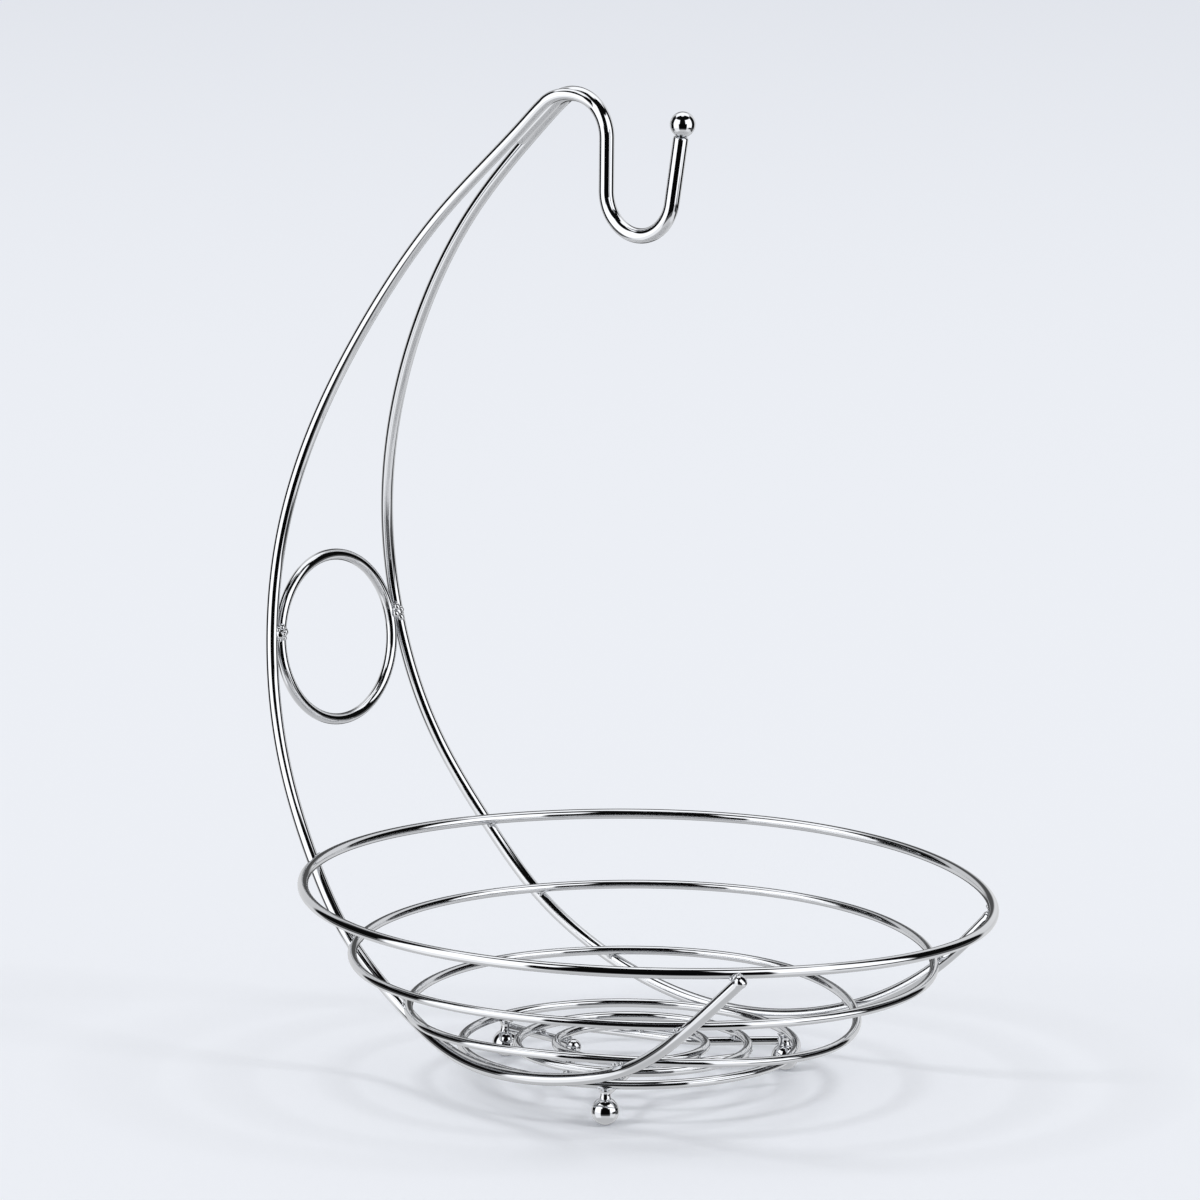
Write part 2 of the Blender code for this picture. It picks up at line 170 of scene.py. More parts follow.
def smooth_path(stations, step):
    """A natural cubic spline through the stations, as equally spaced points."""
    stations = np.asarray(stations, float)
    spans = np.linalg.norm(np.diff(stations, axis=0), axis=1)
    last = len(stations) - 1
    system = np.eye(last + 1)
    right = np.zeros((last + 1, 3))
    for i in range(1, last):
        system[i, i - 1 : i + 2] = spans[i - 1], 2 * (spans[i - 1] + spans[i]), spans[i]
        slope_before = (stations[i] - stations[i - 1]) / spans[i - 1]
        slope_after = (stations[i + 1] - stations[i]) / spans[i]
        right[i] = 6 * (slope_after - slope_before)
    bends = np.linalg.solve(system, right)
    fine = []
    for i in range(last):
        for share in np.linspace(0, 1, SPLINE_SPAN_STEPS, endpoint=i == last - 1):
            here, there = share * spans[i], (1 - share) * spans[i]
            fine.append(
                (bends[i] * there**3 + bends[i + 1] * here**3) / (6 * spans[i])
                + (stations[i] / spans[i] - bends[i] * spans[i] / 6) * there
                + (stations[i + 1] / spans[i] - bends[i + 1] * spans[i] / 6) * here
            )
    return even_path(np.array(fine), step)


def even_path(points, step):
    """The same line with its points a step apart."""
    run = distances_along(points)
    wanted = np.linspace(0, run[-1], int(round(run[-1] / step)) + 1)
    return np.stack([np.interp(wanted, run, points[:, axis]) for axis in range(3)], axis=1)


def droop_at(droop, around):
    """How far a ring's wire lies above its level at an angle round the ring."""
    above = 0.0
    for times, (amount, towards_deg) in enumerate(droop, start=1):
        above = above - amount * np.cos(times * (around - math.radians(towards_deg)))
    return above


def ring_line(radius, height, forward, droop):
    count = int(round(2 * math.pi * radius / RING_STEP))
    turns = np.arange(count) * 2 * math.pi / count
    level = height + droop_at(droop, turns) + np.zeros(count)
    return np.stack([forward + radius * np.cos(turns), radius * np.sin(turns), level], axis=1)


def touch(radius, height, forward, droop, ring_wire, touch_deg, side):
    """The frame wire's centre where it touches a ring from outside and below."""
    reach = (ring_wire + FRAME_WIRE) / 2 + WELD_GAP
    around = SIDES[side] * math.radians(touch_deg[side][0])
    below = math.radians(touch_deg[side][1])
    out = radius + reach * math.cos(below)
    level = height + droop_at(droop, around)
    return (forward + out * math.cos(around), out * math.sin(around), level - reach * math.sin(below))


RINGS = {
    "rim_ring": (RIM_RADIUS, RIM_HEIGHT, RIM_FORWARD, RIM_DROOP, RIM_WIRE),
    "bowl_ring_upper": (UPPER_RADIUS, UPPER_HEIGHT, UPPER_FORWARD, UPPER_DROOP, BOWL_WIRE),
    "bowl_ring_lower": (LOWER_RADIUS, LOWER_HEIGHT, LOWER_FORWARD, LOWER_DROOP, BOWL_WIRE),
    "base_ring_outer": (OUTER_BASE_RADIUS, BASE_HEIGHT, 0.0, (), BOWL_WIRE),
    "base_ring_middle": (MIDDLE_BASE_RADIUS, BASE_HEIGHT, MIDDLE_BASE_FORWARD, (), BOWL_WIRE),
    "base_ring_inner": (INNER_BASE_RADIUS, BASE_HEIGHT, INNER_BASE_FORWARD, (), BOWL_WIRE),
}


def on_bend(middle, turn):
    """A place on one of the hook's two bends, in the middle plane."""
    return middle + HOOK_BEND_RADIUS * np.array([math.cos(turn), math.sin(turn)])


# Hook centreline, in the middle plane.
hook_top = np.array([-HOOK_TOP_BACK, HOOK_TOP_HEIGHT])
rise = math.radians(HOOK_RISE_DEG)
lean = math.radians(HOOK_LEAN_DEG)
bend_start = hook_top + HOOK_BEND_RADIUS * np.array([-math.sin(rise), math.cos(rise)])
tail_start = bend_start - HOOK_TAIL * np.array([math.cos(rise), math.sin(rise)])
banana_middle = hook_top + np.array([2 * HOOK_BEND_RADIUS, -HOOK_DROP])
hook_line = [tail_start]
for turn in np.linspace(math.pi / 2 + rise, 0, HOOK_CREST_STEPS):
    hook_line.append(on_bend(hook_top, turn))
for turn in np.linspace(math.pi, 2 * math.pi - lean, HOOK_BOTTOM_STEPS):
    hook_line.append(on_bend(banana_middle, turn))
leaning = np.array([math.sin(lean), math.cos(lean)])
hook_line.append(hook_line[-1] + HOOK_END * leaning)
hook_ball_middle = hook_line[-1] + (HOOK_BALL_RADIUS + WELD_GAP) * leaning

beside_hook = (HOOK_WIRE + FRAME_WIRE) / 2 + WELD_GAP
neck_reach = NECK_RADIUS + (NECK_WIRE + FRAME_WIRE) / 2 + WELD_GAP
neck_splay = math.radians(NECK_SPLAY_DEG)


def frame_stations(side):
    out = SIDES[side]
    stations = [
        touch(*RINGS["rim_ring"], RIM_FRONT_TOUCH_DEG, side),
        touch(*RINGS["bowl_ring_upper"], UPPER_FRONT_TOUCH_DEG, side),
        touch(*RINGS["bowl_ring_lower"], LOWER_FRONT_TOUCH_DEG, side),
        touch(*RINGS["base_ring_outer"], OUTER_BASE_TOUCH_DEG, side),
        touch(*RINGS["bowl_ring_lower"], LOWER_BACK_TOUCH_DEG, side),
        touch(*RINGS["bowl_ring_upper"], UPPER_BACK_TOUCH_DEG, side),
        touch(*RINGS["rim_ring"], RIM_BACK_TOUCH_DEG, side),
        (-ARCH_FOOT[0], out * ARCH_FOOT[1], ARCH_FOOT[2]),
        (-NECK_TOUCH_BACK, out * neck_reach * math.cos(neck_splay), NECK_TOUCH_HEIGHT),
    ]
    for back, spread, height in (ARCH_LOW, ARCH_MIDDLE, ARCH_UPPER, ARCH_CLOSE):
        stations.append((-back, out * spread, height))
    beside = bend_start + FRAME_BESIDE_TAIL_SHARE * (tail_start - bend_start)
    stations.append((beside[0], out * beside_hook, beside[1]))
    for turn in np.linspace(math.pi / 2 + rise, math.radians(FRAME_END_DEG[side]), FRAME_END_STEPS):
        place = on_bend(hook_top, turn)
        stations.append((place[0], out * beside_hook, place[1]))
    return stations


frame_lines = {side: smooth_path(frame_stations(side), WIRE_STEP) for side in SIDES}

# The neck ring lies in the plane of the two frame wires where it touches them.
behind = frame_lines["right"][frame_lines["right"][:, 0] < -RIM_RADIUS]
nearest = int(np.argmin(np.abs(behind[:, 2] - NECK_TOUCH_HEIGHT)))
along = behind[nearest + 2] - behind[nearest - 2]
upward = unit(np.array([along[0], 0.0, along[2]]))
splay = math.atan2(-along[1], math.hypot(along[0], along[2]))
neck_drop = (behind[nearest][1] - neck_reach / math.cos(splay)) / math.tan(splay)
neck_middle = behind[nearest] * (1, 0, 1) + neck_drop * upward
neck_turns = np.linspace(0, 2 * math.pi, NECK_STEPS, endpoint=False)
neck_line = neck_middle + NECK_RADIUS * (
    np.cos(neck_turns)[:, None] * np.array([0.0, 1.0, 0.0]) + np.sin(neck_turns)[:, None] * upward
)

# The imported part's origin is the middle of its box, so all lines move by this much.
rim_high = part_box("rim_ring")[1]
shift = np.array([rim_high.x - (RIM_FORWARD + RIM_RADIUS + RIM_WIRE / 2), 0.0, 0.0])


# ---- Meshes ----


def make_object(name, vertices, faces, material):
    mesh = bpy.data.meshes.new(name)
    mesh.from_pydata([tuple(v) for v in vertices], [], faces)
    mesh.validate()
    mesh.update()
    for face in mesh.polygons:
        face.use_smooth = True
    mesh.materials.append(material)
    obj = bpy.data.objects.new(name, mesh)
    bpy.context.scene.collection.objects.link(obj)
    return obj


def sections(points, closed):
    """Tangents and two cross directions along a line, without twist."""
    if closed:
        tangents = np.roll(points, -1, axis=0) - np.roll(points, 1, axis=0)
    else:
        tangents = np.gradient(points, axis=0)
    tangents /= np.linalg.norm(tangents, axis=1)[:, None]
    first = np.array([0.0, 1.0, 0.0]) if abs(tangents[0][1]) < 0.9 else np.array([0.0, 0.0, 1.0])
    side = np.cross(tangents[0], first)
    sides = []
    for tangent in tangents:
        side = unit(side - tangent * side.dot(tangent))
        sides.append(side)
    sides = np.array(sides)
    if closed:
        back = unit(sides[-1] - tangents[0] * sides[-1].dot(tangents[0]))
        twist = math.atan2(np.dot(np.cross(sides[0], back), tangents[0]), sides[0].dot(back))
        turns = -twist * np.arange(len(points)) / len(points)
        others = np.cross(tangents, sides)
        sides = np.cos(turns)[:, None] * sides + np.sin(turns)[:, None] * others
    return tangents, sides, np.cross(tangents, sides)


# A wire's end: (its radius, how far it stands back from the tip), both as shares of the wire's radius.
ROUND_TIP = (
    (1.0, 1.60), (1.0, 1.35), (1.05, 1.10), (1.09, 0.85), (1.07, 0.58),
    (0.97, 0.32), (0.78, 0.14), (0.5, 0.045), (0.22, 0.008),
)
DOMED_TIP = (
    (1.0, 0.46), (0.995, 0.34), (0.965, 0.22), (0.90, 0.13),
    (0.74, 0.065), (0.45, 0.02), (0.2, 0.004),
)

# The plain part starts this far past the first tip's outline, and stops this far before the last tip.
FIRST_TIP_MARGIN = 0.15
LAST_TIP_LENGTH = 0.6


def tube(name, points, radius, material, closed=False, first_tip=DOMED_TIP):
    """A round wire along the points, open or closed.

    radius may be a list. An open wire starts with the outline first_tip and ends with a dome.
    """
    points = np.asarray(points, float)
    radii = np.full(len(points), radius) if np.isscalar(radius) else np.asarray(radius, float)
    if closed:
        tangents, sides, others = sections(points, True)
        rows = list(zip(points, radii, sides, others))
    else:
        tangents, sides, others = sections(points, False)
        rows = []
        for share, back in reversed(first_tip):
            place = points[0] + tangents[0] * back * radii[0]
            rows.append((place, share * radii[0], sides[0], others[0]))
        run = distances_along(points)
        start_clear = (first_tip[0][1] + FIRST_TIP_MARGIN) * radii[0]
        end_clear = LAST_TIP_LENGTH * radii[-1]
        for index in range(len(points)):
            if run[index] > start_clear and run[-1] - run[index] > end_clear:
                rows.append((points[index], radii[index], sides[index], others[index]))
        for share, back in DOMED_TIP:
            place = points[-1] - tangents[-1] * back * radii[-1]
            rows.append((place, share * radii[-1], sides[-1], others[-1]))
    angles = 2 * math.pi * np.arange(WIRE_SIDES) / WIRE_SIDES
    circle = np.stack([np.cos(angles), np.sin(angles)], axis=1)
    vertices = []
    for point, row_radius, side, other in rows:
        vertices.extend(point + row_radius * (circle[:, :1] * side + circle[:, 1:] * other))
    faces = []
    count = len(rows)
    for index in range(count if closed else count - 1):
        low, high = index * WIRE_SIDES, (index + 1) % count * WIRE_SIDES
        for step in range(WIRE_SIDES):
            after = (step + 1) % WIRE_SIDES
            faces.append((low + step, low + after, high + after, high + step))
    if not closed:
        start = len(vertices)
        vertices.append(points[0])
        vertices.append(points[-1])
        top = (count - 1) * WIRE_SIDES
        for step in range(WIRE_SIDES):
            after = (step + 1) % WIRE_SIDES
            faces.append((start, after, step))
            faces.append((start + 1, top + step, top + after))
    return make_object(name, vertices, faces, material)


def turned(name, outline, place, segments, material):
    """Turn an outline of (radius, height) pairs, with both ends on the axis, about a vertical axis."""
    angles = 2 * math.pi * np.arange(segments) / segments
    vertices = [(place[0], place[1], place[2] + outline[0][1])]
    for radius, height in outline[1:-1]:
        for angle in angles:
            across, along = radius * math.cos(angle), radius * math.sin(angle)
            vertices.append((place[0] + across, place[1] + along, place[2] + height))
    vertices.append((place[0], place[1], place[2] + outline[-1][1]))
    faces = []
    rows = len(outline) - 2
    last = len(vertices) - 1
    for step in range(segments):
        after = (step + 1) % segments
        faces.append((0, 1 + after, 1 + step))
        top = 1 + (rows - 1) * segments
        faces.append((last, top + step, top + after))
        for row in range(rows - 1):
            low, high = 1 + row * segments, 1 + (row + 1) * segments
            faces.append((low + step, low + after, high + after, high + step))
    return make_object(name, vertices, faces, material)


def blob_parts(middle, axes, sizes, squash=0.0, rows=14, segments=20):
    """Vertices and faces of a smooth lump: a ball stretched along three axes. squash gives it three lobes."""
    axes = np.array(axes, float)
    vertices, faces = [middle + axes[2] * sizes[2]], []
    for row in range(1, rows):
        polar = math.pi * row / rows
        for step in range(segments):
            turn = 2 * math.pi * step / segments
            swell = 1.0 + squash * math.cos(3 * turn) * math.sin(polar)
            offset = (
                axes[0] * sizes[0] * math.sin(polar) * math.cos(turn) * swell
                + axes[1] * sizes[1] * math.sin(polar) * math.sin(turn) * swell
                + axes[2] * sizes[2] * math.cos(polar)
            )
            vertices.append(middle + offset)
    vertices.append(middle - axes[2] * sizes[2])
    last = len(vertices) - 1
    for step in range(segments):
        after = (step + 1) % segments
        faces.append((0, 1 + step, 1 + after))
        low = 1 + (rows - 2) * segments
        faces.append((last, low + after, low + step))
        for row in range(rows - 2):
            upper, lower = 1 + row * segments, 1 + (row + 1) * segments
            faces.append((upper + step, lower + step, lower + after, upper + after))
    return vertices, faces


# ---- Chrome ----


# Cloudy unevenness, ripples and specks of the plating: scale of the noise, its detail, and depth.
CLOUD = (55.0, 3.0)
CLOUD_RANGE = (0.3, 0.7)
TONE_RANGE = (0.96, 1.03)
RIPPLE = (170.0, 1.0)
RIPPLE_DEPTH = 0.0006
SPECK = (1400.0, 4.0)
SPECK_DEPTH = 0.0002


def chrome(name, tint, rough_low, rough_high, wave=0.025, grain=0.0):
    """Polished plating: a faintly uneven tone and gloss, and a surface that waves and may have grain."""
    material = bpy.data.materials.new(name)
    material.use_nodes = True
    nodes, links = material.node_tree.nodes, material.node_tree.links
    shader = nodes["Principled BSDF"]
    shader.inputs["Metallic"].default_value = 1.0
    place = nodes.new("ShaderNodeTexCoord")

    def noise(scale, detail):
        node = nodes.new("ShaderNodeTexNoise")
        node.inputs["Scale"].default_value = scale
        node.inputs["Detail"].default_value = detail
        links.new(place.outputs["Object"], node.inputs["Vector"])
        return node.outputs["Fac"]

    def bump(height, strength, depth):
        node = nodes.new("ShaderNodeBump")
        node.inputs["Strength"].default_value = strength
        node.inputs["Distance"].default_value = depth
        links.new(height, node.inputs["Height"])
        return node

    cloud = noise(*CLOUD)
    tone = nodes.new("ShaderNodeMix")
    tone.data_type = "RGBA"
    tone.inputs["A"].default_value = (*[TONE_RANGE[0] * c for c in tint], 1.0)
    tone.inputs["B"].default_value = (*[min(1.0, TONE_RANGE[1] * c) for c in tint], 1.0)
    links.new(cloud, tone.inputs["Factor"])
    links.new(tone.outputs["Result"], shader.inputs["Base Color"])
    gloss = nodes.new("ShaderNodeMapRange")
    gloss.inputs["From Min"].default_value = CLOUD_RANGE[0]
    gloss.inputs["From Max"].default_value = CLOUD_RANGE[1]
    gloss.inputs["To Min"].default_value = rough_low
    gloss.inputs["To Max"].default_value = rough_high
    links.new(cloud, gloss.inputs["Value"])
    links.new(gloss.outputs["Result"], shader.inputs["Roughness"])
    surface = bump(noise(*RIPPLE), wave, RIPPLE_DEPTH)
    if grain:
        rippled = surface
        surface = bump(noise(*SPECK), grain, SPECK_DEPTH)
        links.new(rippled.outputs["Normal"], surface.inputs["Normal"])
    links.new(surface.outputs["Normal"], shader.inputs["Normal"])
    return material


CHROME_TINT = (0.66, 0.67, 0.69)
WELD_TINT = (0.64, 0.65, 0.67)
ring_chrome = chrome("polished_chrome_rings", CHROME_TINT, rough_low=0.008, rough_high=0.030)
frame_chrome = chrome("polished_chrome_frame", CHROME_TINT, rough_low=0.008, rough_high=0.028)
hook_chrome = chrome("polished_chrome_hook", CHROME_TINT, rough_low=0.006, rough_high=0.025)
foot_chrome = chrome("polished_chrome_feet", CHROME_TINT, rough_low=0.006, rough_high=0.025, wave=0.02)
weld_chrome = chrome("plated_weld", WELD_TINT, rough_low=0.012, rough_high=0.05, wave=0.08, grain=0.015)


def dress(piece, slot, *nodes):
    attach(piece, "root")
    if nodes:
        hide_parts(*nodes)
    return piece


# ---- Rings, wires and hook ----

for name, (radius, height, forward, droop, wire) in RINGS.items():
    line = ring_line(radius, height, forward, droop) + shift
    dress(tube("fine_" + name, line, wire / 2, ring_chrome, closed=True), "ring_chrome", name)

neck = tube("fine_neck_ring", neck_line + shift, NECK_WIRE / 2, frame_chrome, closed=True)
dress(neck, "frame_chrome", "neck_ring")

# At the top each frame wire is ground thinner and sinks into the side of the hook, past the crest.
# It ends this thin and this deep, as shares of its own radius and of the thinned one.
MERGE_FROM_DEG = 128.0
MERGE_TO_DEG = {"left": 44.0, "right": 62.0}
MERGE_END_THIN = 0.55
MERGE_END_DEEP = 1.15
MERGE_EASE = 1.5

# In front the left frame wire reaches a little further over the rim than its solid.
TIP_REACH = {"left": 0.0013, "right": 0.0}


def merging(side):
    """The frame wire's line and radii, led on round the hook's bend while it thins and sinks in."""
    line = frame_lines[side]
    out = SIDES[side]
    around = np.degrees(np.arctan2(line[:, 2] - hook_top[1], line[:, 0] - hook_top[0]))
    over = (line[:, 2] > hook_top[1]) & (around < MERGE_FROM_DEG) & (around > 0)
    kept = line[~over]
    radii = [FRAME_WIRE / 2] * len(kept)
    points = list(kept)
    points[0] = kept[0] + unit(kept[0] - kept[1]) * TIP_REACH[side]
    for share in np.linspace(0, 1, MERGE_STEPS)[1:]:
        turn = math.radians(MERGE_FROM_DEG + share * (MERGE_TO_DEG[side] - MERGE_FROM_DEG))
        sunk = share**MERGE_EASE
        radius = FRAME_WIRE / 2 * (1 - (1 - MERGE_END_THIN) * sunk)
        beside = beside_hook * (1 - sunk) + (HOOK_WIRE / 2 - MERGE_END_DEEP * radius) * sunk
        place = on_bend(hook_top, turn)
        points.append(np.array([place[0], out * beside, place[1]]))
        radii.append(radius)
    return np.array(points), np.array(radii)


for side in SIDES:
    points, radii = merging(side)
    wire = tube("fine_frame_wire_" + side, points + shift, radii, frame_chrome, first_tip=ROUND_TIP)
    dress(wire, "frame_chrome", "frame_wire_" + side)

hook_points = np.array([(place[0], 0.0, place[1]) for place in hook_line])
hook_points[-1] += WELD_GAP * 2 * np.array([leaning[0], 0.0, leaning[1]])
hook_fine = even_path(hook_points, HOOK_STEP)
dress(tube("fine_hook_wire", hook_fine + shift, HOOK_WIRE / 2, hook_chrome), "hook_chrome", "hook_wire")


def ball_outline(radius, flat):
    """The outline of a ball whose lowest part is cut off flat."""
    low = math.asin((flat - radius) / radius)
    outline = [(0.0, flat - radius)]
    for turn in np.linspace(low, math.pi / 2, BALL_ROWS + 1)[:-1]:
        outline.append((radius * math.cos(turn), radius * math.sin(turn)))
    outline.append((0.0, radius))
    return outline


ball_place = np.array([hook_ball_middle[0], 0.0, hook_ball_middle[1]]) + shift
ball_shape = ball_outline(HOOK_BALL_RADIUS, HOOK_BALL_FLAT)
ball = turned("fine_hook_ball", ball_shape, ball_place, BALL_SEGMENTS, hook_chrome)
dress(ball, "hook_chrome", "hook_ball")

# ---- Feet ----

foot_circle = OUTER_BASE_RADIUS - FOOT_INSIDE
ball_height = FOOT_BALL_RADIUS - FOOT_FLAT
stud_low = ball_height + FOOT_BALL_RADIUS + WELD_GAP
stud_top = BASE_HEIGHT - BOWL_WIRE / 2 - WELD_GAP
leg_height = BASE_HEIGHT - (BOWL_WIRE + LEG_WIRE) / 2 - WELD_GAP
leg_outer = foot_circle - STUD_TOP_RADIUS - WELD_GAP
leg_lines = {}
for side_name, angle_deg in FOOT_ANGLES_DEG.items():
    angle = math.radians(angle_deg)
    outward = np.array([math.cos(angle), math.sin(angle)])
    place = foot_circle * outward + (FOOT_CIRCLE_FORWARD, 0.0)
    ball = turned(
        "fine_foot_ball_" + side_name,
        ball_outline(FOOT_BALL_RADIUS, FOOT_FLAT),
        np.array([place[0], place[1], ball_height]) + shift,
        BALL_SEGMENTS,
        foot_chrome,
    )
    dress(ball, "foot_chrome", "foot_ball_" + side_name)
    # The stud flares into the ring above and into the ball below.
    low, high = stud_low - STUD_SINK, stud_top + STUD_SINK
    outline = [(0.0, low)]
    for share in np.linspace(0, 1, STUD_ROWS):
        flare_up = STUD_FLARE_UP * max(0.0, (share - STUD_WAIST_SHARE) / (1 - STUD_WAIST_SHARE)) ** 2
        flare_down = STUD_FLARE_DOWN * max(0.0, (STUD_WAIST_SHARE - share) / STUD_WAIST_SHARE) ** 2
        outline.append((STUD_WAIST_RADIUS * (1 + flare_up + flare_down), low + share * (high - low)))
    outline.append((0.0, high))
    stud_place = np.array([place[0], place[1], 0.0]) + shift
    stud = turned("fine_foot_stud_" + side_name, outline, stud_place, STUD_SEGMENTS, foot_chrome)
    dress(stud, "foot_chrome", "foot_stud_" + side_name)
    leg_start = leg_outer * outward + (FOOT_CIRCLE_FORWARD, 0.0)
    elbow_turn = angle + math.radians(LEG_ELBOW_TURN_DEG[side_name])
    elbow = LEG_ELBOW_REACH[side_name] * np.array([math.cos(elbow_turn), math.sin(elbow_turn)])
    end_turn = angle + math.radians(LEG_END_TURN_DEG)
    leg_end = MIDDLE_BASE_RADIUS * np.array([math.cos(end_turn), math.sin(end_turn)])
    leg_end = leg_end + (MIDDLE_BASE_FORWARD, 0.0)
    inward = unit(elbow - leg_start)
    onward = unit(leg_end - elbow)
    leg = [leg_start, (leg_start + elbow) / 2]
    for share in np.linspace(0, 1, LEG_BEND_STEPS):
        before = elbow - LEG_BEND_LENGTH * (1 - share) * inward
        after = elbow + LEG_BEND_LENGTH * share * onward
        leg.append(before + share * (after - before))
    leg += [(elbow + leg_end) / 2, leg_end]
    leg = [(across, along, leg_height) for across, along in leg]
    leg_lines[side_name] = smooth_path(leg, LEG_STEP)
    wire = tube("fine_leg_wire_" + side_name, leg_lines[side_name] + shift, LEG_WIRE / 2, foot_chrome)
    dress(wire, "foot_chrome", "leg_wire_" + side_name)

# ---- Welds: a small lump of plated metal in each place where two wires touch ----


# Sizes of the welds, and how many drops lie round the core of each.
RING_WELD = 0.0019
LEG_WELD = 0.0014
NECK_WELD = 0.0030
WELD_DROPS = 9
NECK_WELD_DROPS = 11

# The neck's welds sit this far forward of the wires' plane.
NECK_WELD_PROUD = 0.0016

# A weld's core along the wires, out of their plane and across them, as shares of its size. The drops
# wind round it, and both how far out they lie and how big they are rise and fall from drop to drop.
WELD_CORE = (1.0, 0.95, 0.85)
CORE_LOBES = 0.08
DROP_LOBES = 0.1
DROP_TURN = 2.4
DROP_START = 0.4
DROP_SPREAD_WAVE = (0.14, 2.9)
DROP_SIZE = 0.46
DROP_SIZE_WAVE = (0.10, 2.3)
DROP_SHAPE = (1.0, 0.85, 0.9)


def closest(first, second):
    """The two points where two lines come closest, and the distance between them."""
    gaps = np.linalg.norm(first[:, None, :] - second[None, :, :], axis=2)
    i, j = np.unravel_index(np.argmin(gaps), gaps.shape)
    return int(i), int(j), float(gaps[i, j])


def contact(first, first_radius, second, second_radius, size, count=WELD_DROPS, proud=0.0):
    """A lump of weld metal with drops all round it, where two wires come closest.

    proud is how far forward of the two wires' plane it sits.
    """
    i, j, gap = closest(first, second)
    across = unit(second[j] - first[i])
    one = first[min(i + 1, len(first) - 1)] - first[max(i - 1, 0)]
    two = second[min(j + 1, len(second) - 1)] - second[max(j - 1, 0)]
    one, two = unit(one), unit(two)
    if one.dot(two) < 0:
        two = -two
    length = one + two
    length = unit(length - across * length.dot(across))
    axes = np.array((length, np.cross(across, length), across))
    middle = first[i] + across * (first_radius + (gap - first_radius - second_radius) / 2) + shift
    middle = middle + proud * axes[1] * np.sign(axes[1][0])
    core = size * np.array(WELD_CORE)
    drops = [blob_parts(middle, axes, core, squash=CORE_LOBES)]
    for step in range(count):
        height = 1 - (2 * step + 1) / count
        level = math.sqrt(1 - height**2)
        turn = DROP_TURN * step + DROP_START
        spread = 1.0 + DROP_SPREAD_WAVE[0] * math.sin(DROP_SPREAD_WAVE[1] * step)
        offset = spread * core * (height, level * math.cos(turn), level * math.sin(turn))
        drop = size * (DROP_SIZE + DROP_SIZE_WAVE[0] * math.sin(DROP_SIZE_WAVE[1] * step + DROP_START))
        drops.append(blob_parts(middle + offset @ axes, axes, drop * np.array(DROP_SHAPE), squash=DROP_LOBES))
    return drops


def weld_object(name, contacts, slot):
    """One piece of all these welds."""
    vertices, faces = [], []
    for lump_vertices, lump_faces in (drop for drops in contacts for drop in drops):
        start = len(vertices)
        vertices.extend(lump_vertices)
        faces.extend(tuple(start + corner for corner in face) for face in lump_faces)
    return dress(make_object(name, vertices, faces, weld_chrome), slot)


# The parts of a frame wire where its welds are looked for.
REAR_FROM = 0.04
LOW_UNDER = 0.03

ring_lines = {name: ring_line(*sizes[:4]) for name, sizes in RINGS.items()}
for side, line in frame_lines.items():
    front = line[line[:, 0] > 0.0]
    rear = line[(line[:, 0] < -REAR_FROM) & (line[:, 2] < ARCH_FOOT[2])]
    low_part = line[line[:, 2] < LOW_UNDER]
    halves = {name: ring[ring[:, 1] * SIDES[side] > 0] for name, ring in ring_lines.items()}
    lumps = []
    for name in ("rim_ring", "bowl_ring_upper", "bowl_ring_lower"):
        for part in (front, rear):
            lumps.append(contact(part, FRAME_WIRE / 2, halves[name], RINGS[name][4] / 2, RING_WELD))
    lumps.append(contact(low_part, FRAME_WIRE / 2, halves["base_ring_outer"], BOWL_WIRE / 2, RING_WELD))
    lumps.append(
        contact(
            behind * (1, SIDES[side], 1),
            FRAME_WIRE / 2,
            neck_line,
            NECK_WIRE / 2,
            NECK_WELD,
            count=NECK_WELD_DROPS,
            proud=NECK_WELD_PROUD,
        )
    )
    weld_object("frame_welds_" + side, lumps, "frame_chrome")

# The round bead that shows on the back leg's bend.
ELBOW_BEAD_RADIUS = 0.0032
ELBOW_BEAD_RISE = 0.0016
BEAD_ROWS = 24
BEAD_SEGMENTS = 36

for side_name, line in leg_lines.items():
    lumps = []
    for name in ("base_ring_inner", "base_ring_middle"):
        for part in (line[: len(line) // 2], line[len(line) // 2 :]):
            lumps.append(contact(part, LEG_WIRE / 2, ring_lines[name], BOWL_WIRE / 2, LEG_WELD))
    if side_name == "back":
        bend = int(np.argmin(np.linalg.norm(line[:, :2], axis=1)))
        bead_place = line[bend] + (0.0, 0.0, ELBOW_BEAD_RISE) + shift
        bead_sizes = np.full(3, ELBOW_BEAD_RADIUS)
        bead = blob_parts(bead_place, np.eye(3), bead_sizes, rows=BEAD_ROWS, segments=BEAD_SEGMENTS)
        lumps.append([bead])
    weld_object("leg_welds_" + side_name, lumps, "foot_chrome")

# ---- Camera ----

# The photo's view: fitted place and direction, in the photo's 1200 pixel frame.
CAMERA_PLACE = Vector((1.469745, -1.817860, 0.605795))
CAMERA_RIGHT = Vector((0.7730254, 0.6343037, 0.0095165))
CAMERA_UP = Vector((-0.1166086, 0.1273331, 0.9849816))
FOCAL_PIXELS = 5969.967
PHOTO_PIXELS = 1200
# The photo's frame stands this far right and down of the fitted middle.
FRAME_OFFSET_PIXELS = (0.7, 0.6)
SENSOR_MM = 36.0

